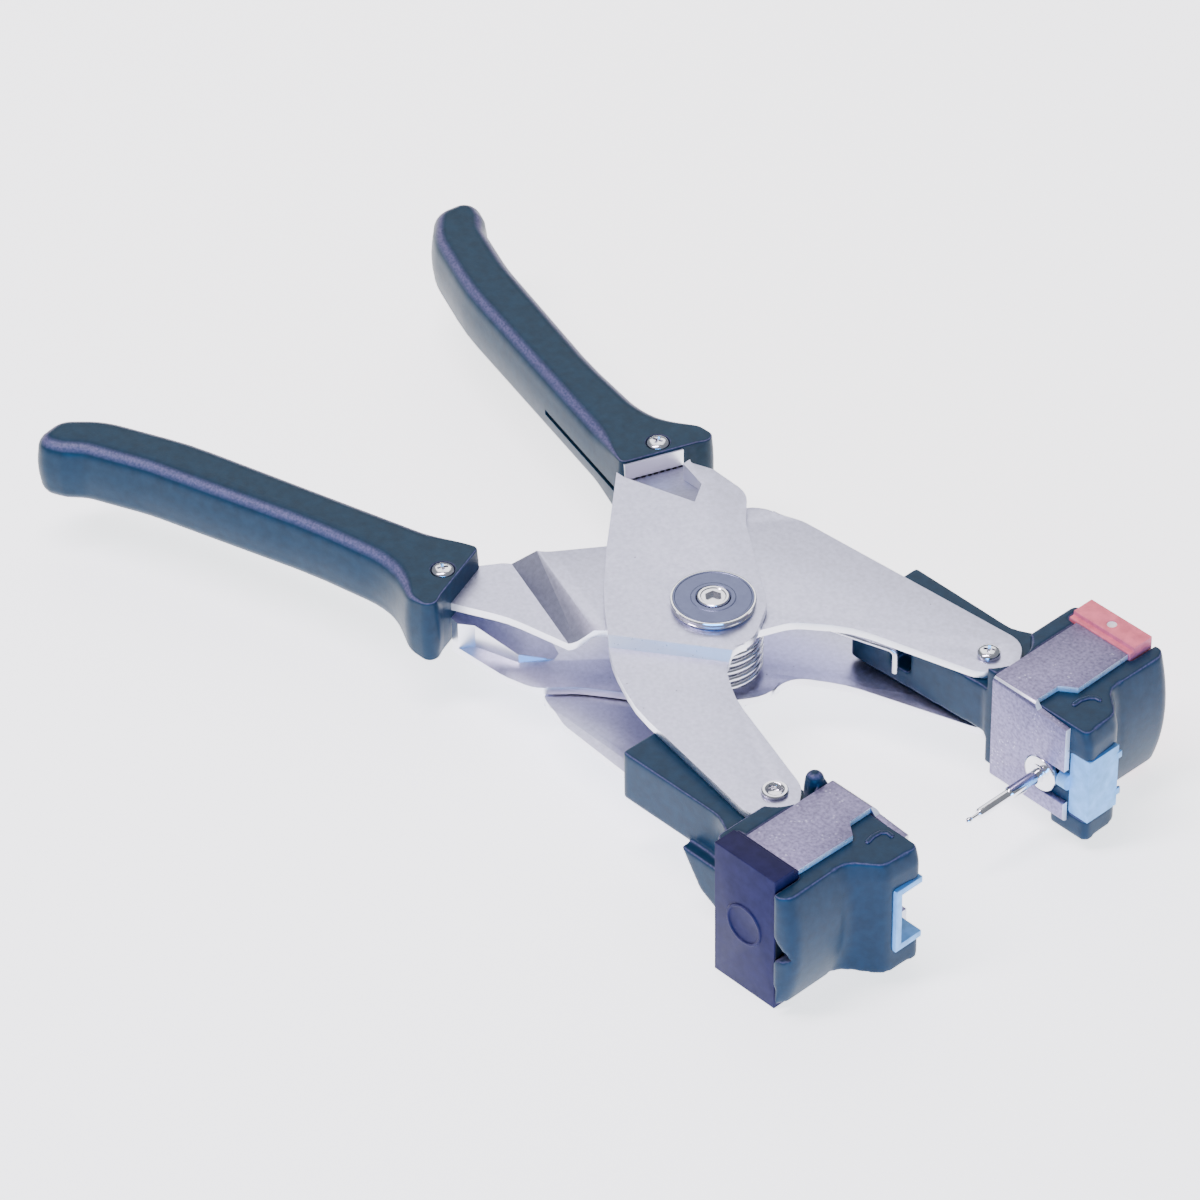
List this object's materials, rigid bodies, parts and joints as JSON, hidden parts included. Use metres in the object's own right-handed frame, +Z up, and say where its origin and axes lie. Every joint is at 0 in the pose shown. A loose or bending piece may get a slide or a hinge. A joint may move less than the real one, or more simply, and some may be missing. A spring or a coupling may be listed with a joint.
{
  "type": "snap setter pliers",
  "caption": "Hand pliers with two plastic grips, paired steel arm plates, a sprung centre pivot, and parallel heads that drive a stepped setting pin into a steel die bush.",
  "frame": {"origin": "bottom centre of the whole tool's box, with the tool lying flat and open", "axes": "+X along the tool from the grips to the heads, +Y from the die head to the pin head, +Z up along the pivot axis"},
  "size_m": [0.2558, 0.142, 0.0385],
  "materials": {
    "plate_steel": "bright satin zinc",
    "grip_plastic": "fine satin moulding, blue-black",
    "head_plastic": "fine satin moulding, blue-black",
    "fastener": "bright plated",
    "cover_disc": "satin blue-grey",
    "shim": "smooth",
    "spring_wire": "bright drawn wire",
    "saddle_steel": "satin plated sheet, faintly spotted",
    "pink_cap": "satin moulding",
    "navy_cap": "satin moulding",
    "gauge_plastic": "satin moulding, light blue",
    "polished_tool": "polished tool steel"
  },
  "bodies": {
    "arm_b": {"arm_b_top_plate": "plate_steel", "arm_b_bottom_plate": "plate_steel", "grip_b": "grip_plastic", "grip_b_screw": "fastener", "grip_b_nut": "fastener", "tang_spacer_b": "fastener", "pivot_bush": "fastener", "pivot_bolt": "fastener", "pivot_top_disc": "cover_disc", "pivot_top_washer": "fastener", "pivot_bottom_disc": "cover_disc", "pivot_nut": "fastener", "plate_shims": "shim", "torsion_spring": "spring_wire", "pin_head_hinge_screw": "fastener", "pin_head_hinge_nut": "fastener"},
    "arm_a": {"arm_a_top_plate": "plate_steel", "arm_a_bottom_plate": "plate_steel", "grip_a": "grip_plastic", "grip_a_screw": "fastener", "grip_a_nut": "fastener", "tang_spacer_a": "fastener", "die_head_hinge_rivet": "fastener"},
    "pin_head": {"pin_head_body": "head_plastic", "pin_head_saddle": "saddle_steel", "pin_head_cap": "pink_cap", "pin_head_gauge": "gauge_plastic", "setting_pin": "polished_tool", "pin_flange": "polished_tool", "pin_holder": "polished_tool"},
    "die_head": {"die_head_body": "head_plastic", "die_head_saddle": "saddle_steel", "die_head_cap": "navy_cap", "die_head_gauge": "gauge_plastic", "die_bush": "polished_tool"}
  },
  "joints": [
    {"name": "main_pivot", "type": "hinge", "parent": "arm_b", "child": "arm_a", "pos_m": [0.03452, 0, 0.024], "axis": [0, 0, 1], "range_deg": [0, 36], "stiffness_Nm_per_rad": 0.6, "springref_deg": -40.11, "deforming": ["torsion_spring"]},
    {"name": "pin_head_hinge", "type": "hinge", "parent": "arm_b", "child": "pin_head", "pos_m": [0.08932, 0.0343, 0.024], "axis": [0, 0, 1], "range_deg": [0, 18.5]},
    {"name": "die_head_hinge", "type": "hinge", "parent": "arm_a", "child": "die_head", "pos_m": [0.08932, -0.0343, 0.024], "axis": [0, 0, 1], "range_deg": [-18.5, 0]}
  ],
  "couplings": [
    {"joint": "pin_head_hinge", "follows": "main_pivot", "ratio": 0.5},
    {"joint": "die_head_hinge", "follows": "main_pivot", "ratio": -0.5}
  ]
}
